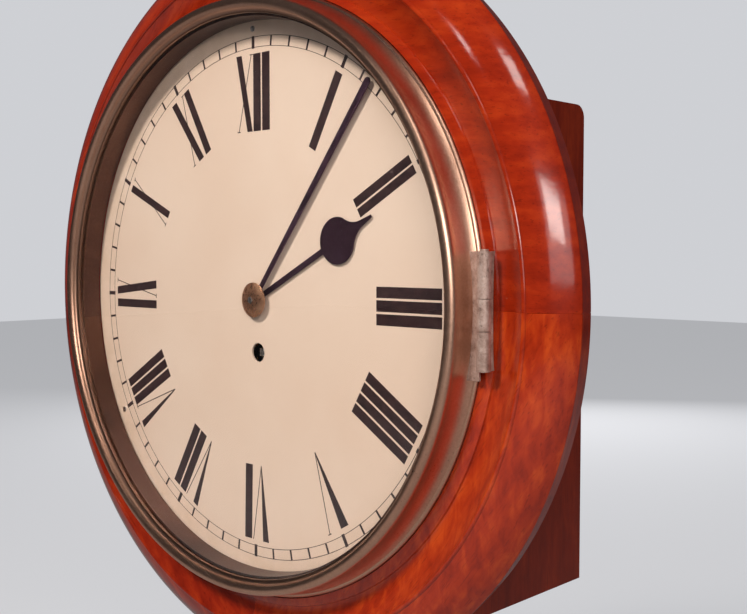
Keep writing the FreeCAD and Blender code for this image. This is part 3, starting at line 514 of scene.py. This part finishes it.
def clear_glass():
    """Old flat glass that lets lamps through, with a slight ripple."""
    material, tree = new_material("glass")
    place = place_of(tree)
    ripple = bump(tree, noise(tree, place, 14.0, 2.0), 0.04, 0.0006)
    dust = ramp(tree, noise(tree, place, 300.0, 4.0, 0.7), [(0.5, 0.0), (0.8, 0.05)])
    shader = add(tree, "ShaderNodeBsdfPrincipled", {
        "Base Color": (0.99, 0.995, 0.99, 1.0), "Roughness": dust, "Transmission Weight": 1.0, "IOR": 1.45,
        "Normal": ripple})
    through = add(tree, "ShaderNodeBsdfTransparent", {"Color": (0.96, 0.97, 0.96, 1.0)}).outputs[0]
    path = add(tree, "ShaderNodeLightPath").outputs
    soft = add(tree, "ShaderNodeMixShader", {0: path["Is Diffuse Ray"], 1: shader.outputs[0], 2: through})
    lit = add(tree, "ShaderNodeMixShader", {0: path["Is Shadow Ray"], 1: soft.outputs[0], 2: through})
    add(tree, "ShaderNodeOutputMaterial", {"Surface": lit.outputs[0]})
    return material


MAHOGANY = [(0.155, 0.0070, 0.0012), (0.27, 0.0160, 0.0022), (0.40, 0.037, 0.0050)]
MAHOGANY_ORANGE = [(0.18, 0.0088, 0.0014), (0.33, 0.0235, 0.0032), (0.50, 0.060, 0.0070)]
MAHOGANY_DARK = [(0.12, 0.0055, 0.0012), (0.22, 0.0130, 0.0026), (0.34, 0.031, 0.0052)]
SURROUND_WOOD = {
    "surround_upper_right": wood("mahogany_upper_right", MAHOGANY, -3.0, (0.0, 0.0, 0.0), 0.16),
    "surround_upper_left": wood("mahogany_upper_left", MAHOGANY, 38.0, (0.31, 0.0, 0.17), 0.2),
    "surround_lower_left": wood("mahogany_lower_left", MAHOGANY_DARK, -42.0, (0.77, 0.0, 0.41), 0.3),
    "surround_lower_right": wood(
        "mahogany_lower_right", MAHOGANY_ORANGE, 52.0, (0.53, 0.0, 0.91), 0.45, fleck_turn=82.0),
}
BOX_TONES = [(0.10, 0.0075, 0.0022), (0.19, 0.0155, 0.004), (0.30, 0.032, 0.007)]
BOX_UPRIGHT = wood("box_wood_upright", BOX_TONES, 90.0, (0.2, 0.0, 0.6), 0.2, 0.6, 0.16)
BOX_ACROSS = wood("box_wood_across", BOX_TONES, 0.0, (0.6, 0.0, 0.1), 0.2, 0.6, 0.16)
PINE_TONES = [(0.20, 0.10, 0.045), (0.38, 0.21, 0.10), (0.52, 0.32, 0.17)]
PINE = wood("inner_wood", PINE_TONES, 88.0, (0.1, 0.0, 0.3), 0.12, 0.0, 0.5)

BEZEL_TONES = [(0.52, 0.27, 0.19), (0.68, 0.39, 0.27), (0.82, 0.52, 0.38)]
# The bezel's inner lip and wall are darkened: partly tarnish, partly painted shade.
BEZEL_BRASS = metal("bezel_brass", BEZEL_TONES, 0.33, BEZEL_AXIS, 9.0, tarnish_and_shade=(155.0, 156.4, 0.75))
# Painted shade: the sight ring's brass is toned nearly black, partly dark toning, partly the shade inside the
# bezel.
SIGHT_TONES_WITH_SHADE = [(0.055, 0.026, 0.018), (0.11, 0.052, 0.036), (0.19, 0.10, 0.07)]
SIGHT_BRASS_WITH_SHADE = metal("sight_brass_with_shade", SIGHT_TONES_WITH_SHADE, 0.36, BEZEL_AXIS, 14.0)
COLLET_TONES = [(0.30, 0.13, 0.075), (0.48, 0.24, 0.14), (0.62, 0.36, 0.22)]
COLLET_BRASS = metal("collet_brass", COLLET_TONES, 0.27, HANDS_AXIS, 90.0)
PLATE_TONES = [(0.58, 0.39, 0.15), (0.76, 0.55, 0.25), (0.86, 0.66, 0.34)]
PLATE_BRASS = metal("movement_brass", PLATE_TONES, 0.28, None, 22.0)
KNOB_TONES = [(0.45, 0.26, 0.11), (0.68, 0.44, 0.20), (0.82, 0.58, 0.30)]
KNOB_BRASS = metal("knob_brass", KNOB_TONES, 0.24, None, 60.0)
HINGE_TONES = [(0.22, 0.13, 0.10), (0.46, 0.32, 0.27), (0.66, 0.52, 0.46)]
HINGE_NICKEL = metal("hinge_metal", HINGE_TONES, 0.5, None, 150.0, 0.00003, 0.6, metallic=0.45)
STEEL_TONES = [(0.30, 0.29, 0.28), (0.48, 0.47, 0.47), (0.62, 0.62, 0.63)]
BRIGHT_STEEL = metal("steel", STEEL_TONES, 0.26, None, 60.0)
SPRING_TONES = [(0.10, 0.12, 0.19), (0.17, 0.20, 0.29), (0.27, 0.30, 0.38)]
SPRING_STEEL = metal("spring_steel", SPRING_TONES, 0.28, None, 60.0)
BLUED_TONES = [(0.060, 0.028, 0.042), (0.085, 0.042, 0.065), (0.11, 0.055, 0.095)]
BLUED_STEEL = metal("blued_steel", BLUED_TONES, 0.38, None, 45.0)
DIAL_PAINT = dial_paint()
INK = ink()
GLASS = clear_glass()


# ---- the surround ----------------------------------------------------------------------------
SURROUND = outline(
    (92.0, -18.0), (92.0, -1.2), (155.6, -1.2), (155.6, 1.0), ("via", 163.0, 3.0), (168.0, 1.8), (168.5, 0.9),
    (169.4, 0.9), ("via", 177.0, 2.7), (183.6, 6.0), ("via", 185.0, 7.0), (186.4, 6.0), (187.0, 5.9),
    ("via", 197.2, 1.7), (206.0, -7.0), ("via", 205.9, -8.2), (205.2, -9.0), (203.6, -18.0), steps=12)
JOINT_EASE = 0.18
JOINT_RADIUS = 190.0
QUADRANTS = {
    "surround_upper_right": 0.0, "surround_upper_left": 90.0,
    "surround_lower_left": 180.0, "surround_lower_right": 270.0,
}


def quadrant(node, start, steps=120):
    """A quarter of the turned surround, eased at its two joints so that they show as fine lines."""
    ease = math.degrees(JOINT_EASE / JOINT_RADIUS)
    inner = [start + ease + (90.0 - 2.0 * ease) * k / steps for k in range(steps + 1)]
    eased = inset(SURROUND, JOINT_EASE)
    sections = [eased] + [SURROUND] * len(inner) + [eased]
    mesh = lathe(sections, [start] + inner + [start + 90.0], closed=False)
    return finished("look_" + node, mesh, SURROUND_WOOD[node], "case", [node])


surround = {node: quadrant(node, start) for node, start in QUADRANTS.items()}
BEZEL_SEAT = [(0.0, 0.0), (165.4, 0.0), (165.4, 6.0), (0.0, 6.0)]
HINGE_SLOT = ((164.5, -25.0, -26.8), (166.1, 8.0, 26.8))
CATCH_POCKET = ((-161.9, -14.0, -7.0), (-157.3, 8.0, 7.0))
for node in QUADRANTS:
    cut(surround[node], full_lathe(BEZEL_SEAT, BEZEL_AXIS, BEZEL_STEPS))
for node in ("surround_upper_right", "surround_lower_right"):
    cut(surround[node], box_mesh(*[at(*corner) for corner in HINGE_SLOT]))
for node in ("surround_upper_left", "surround_lower_left"):
    cut(surround[node], box_mesh(*[at(*corner, BEZEL_AXIS) for corner in CATCH_POCKET]))

# ---- the bezel, its glass and the sight ring -------------------------------------------------
BEZEL = outline(
    (154.0, 0.4), (155.6, 0.4), (155.6, 14.6), (158.0, 14.6), (158.4, 9.4), (161.0, 3.4), (161.4, 0.4),
    (163.6, 0.4), ("via", 165.0, 2.2), (163.2, 4.4), ("via", 160.5, 9.0), (160.3, 16.0),
    ("via", 157.6, 20.8), (154.6, 18.6), ("via", 154.2, 17.4), (152.6, 16.4), (152.4, 15.3), (154.0, 15.3),
    steps=14)
SIGHT = [
    (151.2, 1.2), (152.6, 1.2), (152.9, 11.6), (153.8, 11.6), (153.8, 13.0), (151.4, 13.0), (151.4, 11.6)]
GLASS_SECTION = [(0.0, 14.4), (153.6, 14.4), (153.7, 14.5), (153.7, 15.1), (153.6, 15.2), (0.0, 15.2)]

bezel_mesh = full_lathe(BEZEL, BEZEL_AXIS, BEZEL_STEPS)
finished("look_bezel_ring", bezel_mesh, BEZEL_BRASS, "bezel", ["bezel_ring"])
sight_mesh = full_lathe(SIGHT, BEZEL_AXIS, 300)
sight = finished("look_sight_ring", sight_mesh, SIGHT_BRASS_WITH_SHADE, "bezel", ["sight_ring"])
rounded(sight, 0.15, 2)
finished("look_glass", full_lathe(GLASS_SECTION, BEZEL_AXIS, 240), GLASS, "bezel", ["glass"])

# ---- the dial --------------------------------------------------------------------------------
WINDING_X = (WINDING_AXIS.x - DIAL_AXIS.x) / MM
WINDING_Z = (WINDING_AXIS.z - DIAL_AXIS.z) / MM
HANDS_X = (HANDS_AXIS.x - DIAL_AXIS.x) / MM
HANDS_Z = (HANDS_AXIS.z - DIAL_AXIS.z) / MM
DIAL_RADIUS = 155.3
DIAL_THICKNESS = 1.2
CENTRE_HOLE = 6.0
KEY_HOLE = 5.25
dial_loops = [
    circle(DIAL_RADIUS, 300),
    circle(CENTRE_HOLE, 72, HANDS_X, HANDS_Z),
    circle(KEY_HOLE, 72, WINDING_X, WINDING_Z),
]
dial_mesh = plate(dial_loops, -DIAL_THICKNESS, 0.0, 0.12)
finished("look_dial", dial_mesh, DIAL_PAINT, "case", ["dial"])

# Strokes of each numeral as places across it, in mm: from and to at its outer end, then at its inner end.
NUMERAL_INNER = 92.6
NUMERAL_OUTER = 134.8
STROKES = {
    12: [(-14.4, -9.8, -5.1, -0.7), (0.0, 6.2, 0.0, 6.2), (7.3, 13.6, 7.3, 13.6)],
    1: [(-3.6, 2.0, -2.4, 3.2)],
    2: [(-6.2, -1.6, -7.4, -2.6), (-0.7, 4.1, -1.6, 3.2)],
    3: [(-9.3, -3.7, -9.3, -3.7), (-2.6, 3.1, -2.6, 3.1), (4.2, 9.9, 4.2, 9.9)],
    4: [(-12.6, -7.5, -15.0, -9.6), (-6.4, -1.3, -8.5, -3.2), (-0.2, 4.9, -2.1, 3.2), (6.0, 11.0, 4.3, 9.6)],
    5: [(-6.5, -0.4, -2.4, -1.9)],
    6: [(-11.1, -6.2, -5.2, -4.7), (3.3, 9.3, 2.3, 8.3)],
    7: [(-16.3, -11.7, -8.3, -7.8), (-2.9, 2.9, -2.9, 2.9), (4.1, 10.0, 4.1, 10.0)],
    8: [(-18.9, -14.5, -12.1, -11.6), (-3.4, 1.9, -3.1, 2.2), (3.0, 8.3, 3.4, 8.7), (9.4, 14.6, 9.9, 15.2)],
    9: [(-8.4, -3.4, -8.4, -3.4), (-0.4, 4.4, 4.0, 8.9)],
    10: [(-3.7, 1.0, 0.4, 5.0)],
    11: [(-8.3, -3.4, -2.5, 2.4), (5.2, 10.3, 4.7, 10.1)],
}
# Hairlines: outer place, inner place, and whether each end has a serif.
HAIRLINES = {
    12: [(-1.6, -12.4, True, True)], 5: [(9.1, -2.1, True, False)], 6: [(2.0, -4.9, False, False)],
    7: [(-4.1, -8.0, False, False)], 8: [(-4.6, -11.8, True, False)], 9: [(8.6, -0.6, True, True)],
    10: [(4.9, -4.1, True, True)], 11: [(3.4, -7.6, True, True)],
}
HAIR = 0.55
SERIF = 2.6


def on_dial(hour, across, radius):
    """The dial point that far across a numeral, clockwise, and that far from the centre."""
    turn = math.radians(FULL_TURN / 12.0 * hour)
    x = across * math.cos(turn) + radius * math.sin(turn)
    z = radius * math.cos(turn) - across * math.sin(turn)
    return (x, z)


def stroke(hour, a, b, c, d, outer=NUMERAL_OUTER, inner=NUMERAL_INNER):
    """A stroke from a to b across its outer end and from c to d across its inner end."""
    corners = ((a, outer), (b, outer), (d, inner), (c, inner))
    return [on_dial(hour, across, radius) for across, radius in corners]


def hairline(hour, outer_at, inner_at, outer_serif, inner_serif):
    half = HAIR / 2.0
    shapes = [stroke(hour, outer_at - half, outer_at + half, inner_at - half, inner_at + half)]
    ends = ((outer_serif, outer_at, NUMERAL_OUTER), (inner_serif, inner_at, NUMERAL_INNER + HAIR))
    for shown, where, edge in ends:
        if shown:
            left, right = where - SERIF / 2.0, where + SERIF / 2.0
            shapes.append(stroke(hour, left, right, left, right, edge, edge - HAIR))
    return shapes


INK_THICKNESS = 0.05
INK_BACK = -0.02                # sunk a little into the paint
heavy = [stroke(hour, *s) for hour, strokes in STROKES.items() for s in strokes]
hairs = [shape for hour, lines in HAIRLINES.items() for line in lines for shape in hairline(hour, *line)]
finished("numerals", prisms(heavy, INK_BACK, INK_THICKNESS), INK, "case")
finished("numeral_hairlines", prisms(hairs, INK_BACK, INK_THICKNESS * 0.7), INK, "case")

TRACK_INNER = 138.2
TRACK_OUTER = 143.8
TRACK_LINE = 0.32
TICK = 1.35
HOUR_TICK = 2.3
HOUR_REACH = 0.6                # an hour's tick crosses the track's lines by this


def tick(minute):
    on_hour = minute % 5 == 0
    half = (HOUR_TICK if on_hour else TICK) / 2.0
    reach = HOUR_REACH if on_hour else 0.0
    return stroke(minute / 5.0, -half, half, -half, half, TRACK_OUTER + reach, TRACK_INNER - reach)


def track_line(radius):
    near, far = radius - TRACK_LINE / 2.0, radius + TRACK_LINE / 2.0
    section = [(near, INK_BACK), (far, INK_BACK), (far, INK_THICKNESS), (near, INK_THICKNESS)]
    return full_lathe(section, count=360)


ticks = prisms([tick(minute) for minute in range(60)], INK_BACK, INK_THICKNESS * 0.8)
finished("minute_ticks", ticks, INK, "case")
finished("minute_line_inner", track_line(TRACK_INNER), INK, "case")
finished("minute_line_outer", track_line(TRACK_OUTER), INK, "case")

# ---- the hands -------------------------------------------------------------------------------
HOUR_ANGLE = 63.17
MINUTE_ANGLE = 38.0
HUB_RADIUS = 7.2


def hand(name, node, right_half, out_back, out_front, angle, body, bore):
    """A blued hand: its blade and its hub, which meet under the collet."""
    half = outline(*right_half, steps=16)
    blade = half + [(-x, z) for x, z in reversed(half) if x > 0.0]
    bevel = 0.22
    blade_mesh = plate([blade], out_back, out_front, bevel, angle, HANDS_AXIS)
    hub = [circle(HUB_RADIUS, 96), circle(bore, 64)]
    hub_mesh = plate(hub, out_back, out_front, bevel, angle, HANDS_AXIS)
    finished(name, blade_mesh, BLUED_STEEL, body, [node])
    finished(name + "_hub", hub_mesh, BLUED_STEEL, body)


hand("look_hour_hand", "hour_hand", [
    (1.6, 5.6), (1.6, 58.9), ("via", 12.2, 71.0), (8.6, 79.8), ("via", 3.7, 84.6), (1.6, 91.0), (0.7, 98.0)],
    0.8, 1.6, HOUR_ANGLE, "hour", 4.9)
hand("look_minute_hand", "minute_hand", [(1.5, 4.6), (2.0, 139.2), ("via", 1.4, 141.1), (0.0, 141.8)],
     2.2, 3.0, MINUTE_ANGLE, "centre", 3.5)
COLLET = outline(
    (1.9, 3.0), (9.3, 3.0), (9.6, 3.2), (9.6, 3.6), ("via", 6.4, 5.0), (2.6, 5.5), (1.9, 5.4), steps=12)
collet_mesh = full_lathe(COLLET, HANDS_AXIS, 128)
finished("look_hand_collet", collet_mesh, COLLET_BRASS, "centre", ["hand_collet"])

# ---- hinge, screws and boards ----------------------------------------------------------------
# CAD nodes shown with rounded edges: material, body, slot, and the rounding's width in mm and segments.
ROUNDED_NODES = {
    "hinge_bezel_leaf": (HINGE_NICKEL, "bezel", "hinge_metal", 0.22, 3),
    "hinge_fixed_leaf": (HINGE_NICKEL, "case", "hinge_metal", 0.22, 3),
    "hinge_pin": (HINGE_NICKEL, "case", "hinge_metal", 0.12, 2),
    "dial_screws": (BRIGHT_STEEL, "case", "steel", 0.1, 2),
    "wood_screws": (BRIGHT_STEEL, "case", "steel", 0.15, 2),
    "case_side_right": (BOX_UPRIGHT, "case", "box_wood", 0.9, 4),
    "case_side_left": (BOX_UPRIGHT, "case", "box_wood", 0.9, 4),
    "case_top": (BOX_ACROSS, "case", "box_wood", 0.9, 4),
    "case_bottom": (BOX_ACROSS, "case", "box_wood", 0.9, 4),
    "bottom_door": (BOX_ACROSS, "bottom_door", "box_wood", 0.8, 4),
    "backboard": (PINE, "case", "inner_wood", 0.5, 3),
    "hanging_plate": (PLATE_BRASS, "case", "movement_brass", 0.25, 3),
    "bottom_door_knob": (KNOB_BRASS, "bottom_door", "brass", 0.2, 2),
    "pendulum_bob": (PLATE_BRASS, "pendulum", "movement_brass", 0.3, 3),
}
for node, look in ROUNDED_NODES.items():
    softened(node, *look)

# ---- CAD nodes that keep their shape ---------------------------------------------------------
SLOT_MATERIALS = {
    "mahogany": SURROUND_WOOD["surround_upper_right"], "box_wood": BOX_UPRIGHT, "inner_wood": PINE,
    "dial_paint": DIAL_PAINT, "dial_ink": INK, "brass": KNOB_BRASS, "movement_brass": PLATE_BRASS,
    "hinge_metal": HINGE_NICKEL, "steel": BRIGHT_STEEL, "spring_steel": SPRING_STEEL,
    "blued_steel": BLUED_STEEL, "glass": GLASS,
}
for part in frame["record"]["subparts"]:
    shown = frame["nodes"][part["node"]]
    shown.data.materials.clear()
    shown.data.materials.append(SLOT_MATERIALS[part["material_slot"]])

for piece in PIECES:
    flattened(piece)

# ---- floor, lights and camera ----------------------------------------------------------------
FLOOR_DROP = 0.22
FLOOR_HALF = 6.0
floor_bm = bmesh.new()
FLOOR_Z = CAD_BOUNDS[0].z - FLOOR_DROP
corners = [
    (-FLOOR_HALF, -FLOOR_HALF), (FLOOR_HALF, -FLOOR_HALF),
    (FLOOR_HALF, FLOOR_HALF), (-FLOOR_HALF, FLOOR_HALF)]
floor_bm.faces.new([floor_bm.verts.new((x, y, FLOOR_Z)) for x, y in corners])
floor = bpy.data.objects.new("floor", mesh_of(floor_bm))
bpy.context.scene.collection.objects.link(floor)
floor_material, floor_tree = new_material("floor")
seen = add(floor_tree, "ShaderNodeLightPath").outputs["Is Camera Ray"]
glow = add(floor_tree, "ShaderNodeMath", {0: seen, 1: 0.62}, operation="MULTIPLY").outputs[0]
principled(floor_tree, {
    "Base Color": (0.30, 0.30, 0.31, 1.0), "Roughness": 0.8, "Specular IOR Level": 0.1,
    "Emission Color": (0.66, 0.67, 0.70, 1.0), "Emission Strength": glow})
floor.data.materials.append(floor_material)

world = bpy.data.worlds.new("studio")
bpy.context.scene.world = world
world.use_nodes = True
world_tree = world.node_tree
world_tree.nodes.clear()
backdrop = add(world_tree, "ShaderNodeBackground", {"Color": (0.62, 0.63, 0.66, 1.0), "Strength": 1.0})
room = add(world_tree, "ShaderNodeBackground", {"Color": (0.86, 0.90, 1.0, 1.0), "Strength": 0.055})
seen = add(world_tree, "ShaderNodeLightPath").outputs["Is Camera Ray"]
both = add(world_tree, "ShaderNodeMixShader", {0: seen, 1: room.outputs[0], 2: backdrop.outputs[0]})
add(world_tree, "ShaderNodeOutputWorld", {"Surface": both.outputs[0]})


def softbox(name, azimuth, elevation, distance, width, height, power, colour=(1.0, 1.0, 1.0)):
    """A rectangular lamp that faces the dial, azimuth from straight ahead towards the viewer's right."""
    lamp = bpy.data.lights.new(name, "AREA")
    lamp.shape = "RECTANGLE"
    lamp.size = width
    lamp.size_y = height
    lamp.energy = power
    lamp.color = colour
    holder = bpy.data.objects.new(name, lamp)
    bpy.context.scene.collection.objects.link(holder)
    turn, lift = math.radians(azimuth), math.radians(elevation)
    back = Vector((math.sin(turn) * math.cos(lift), -math.cos(turn) * math.cos(lift), math.sin(lift)))
    holder.location = DIAL_AXIS + back * distance
    holder.rotation_euler = (-back).to_track_quat("-Z", "Y").to_euler()
    return holder


# The key and the lamp behind light the clock without a highlight; the glint is the key's small highlight.
WARM = (1.0, 0.94, 0.88)
key = softbox("key", -2.0, 40.0, 1.9, 0.30, 0.30, 35.0, WARM)
key.visible_glossy = False
softbox("glint", -2.0, 40.0, 1.88, 0.14, 0.14, 0.7, WARM)
softbox("upper", 56.0, 52.0, 1.8, 0.34, 0.30, 3.2, WARM)
softbox("window", 50.0, 18.0, 1.9, 0.75, 0.34, 10.0, WARM)
softbox("window_glow", 52.0, 14.0, 1.95, 1.30, 0.75, 7.0)
behind = softbox("behind", 215.0, 12.0, 2.6, 1.6, 1.2, 30.0)
behind.visible_glossy = False

camera = bpy.data.cameras.new("camera")
camera.sensor_width = 36.0
camera.lens = 51.01
camera.clip_start = 0.02
viewer = bpy.data.objects.new("camera", camera)
bpy.context.scene.collection.objects.link(viewer)
viewer.location = (0.4505, -0.5019, 0.0266)
RIGHT = Vector((0.7275, 0.6861, 0.0))
UP = Vector((-0.0359, 0.0380, 0.9986))
BACK = Vector((0.6851, -0.7265, 0.0523))
viewer.rotation_euler = Matrix((RIGHT, UP, BACK)).transposed().to_euler()
bpy.context.scene.camera = viewer
bpy.context.scene.view_settings.view_transform = "Standard"
